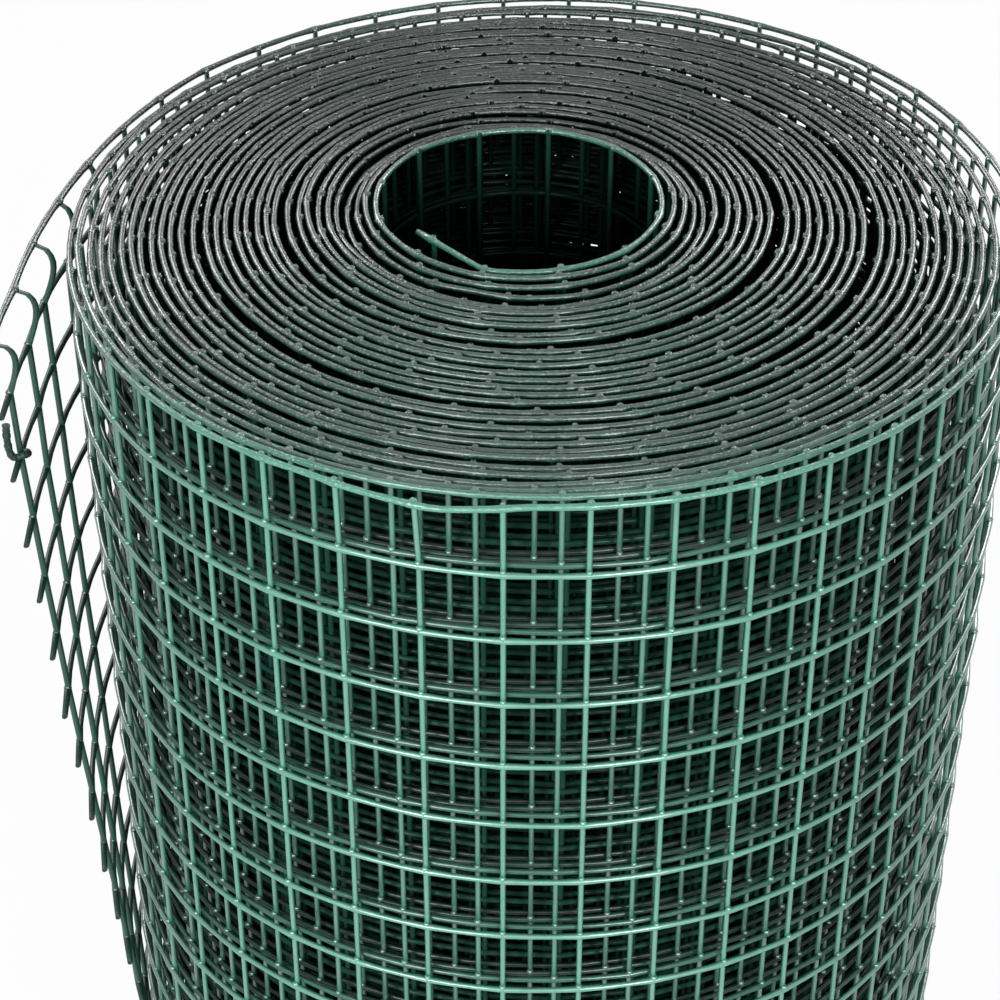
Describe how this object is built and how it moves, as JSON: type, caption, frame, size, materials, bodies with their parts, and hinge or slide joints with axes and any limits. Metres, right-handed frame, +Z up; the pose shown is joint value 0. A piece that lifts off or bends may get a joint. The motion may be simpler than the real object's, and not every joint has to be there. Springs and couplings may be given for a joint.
{
  "type": "roll of wire fencing",
  "caption": "Roll of green plastic-coated square welded-wire mesh standing on its end, wound round an open bore, with its outer end sprung loose at the top",
  "frame": {"origin": "on the axis of the bore, at the level of the end that the roll stands on", "axes": "+Z up along the bore, +X to the right of the picture, +Y away from its camera; the loose end stands off at the left, -X"},
  "size_m": [0.1712, 0.1618, 0.4972],
  "materials": {
    "coated_wire": "dark green plastic-coated wire, semi-gloss, a little lumpy at the welds",
    "tie_coating": "blackish green plastic-coated wire, semi-gloss"
  },
  "bodies": {
    "root": {"mesh_roll": "coated_wire", "tie_wire": "tie_coating"}
  },
  "joints": []
}
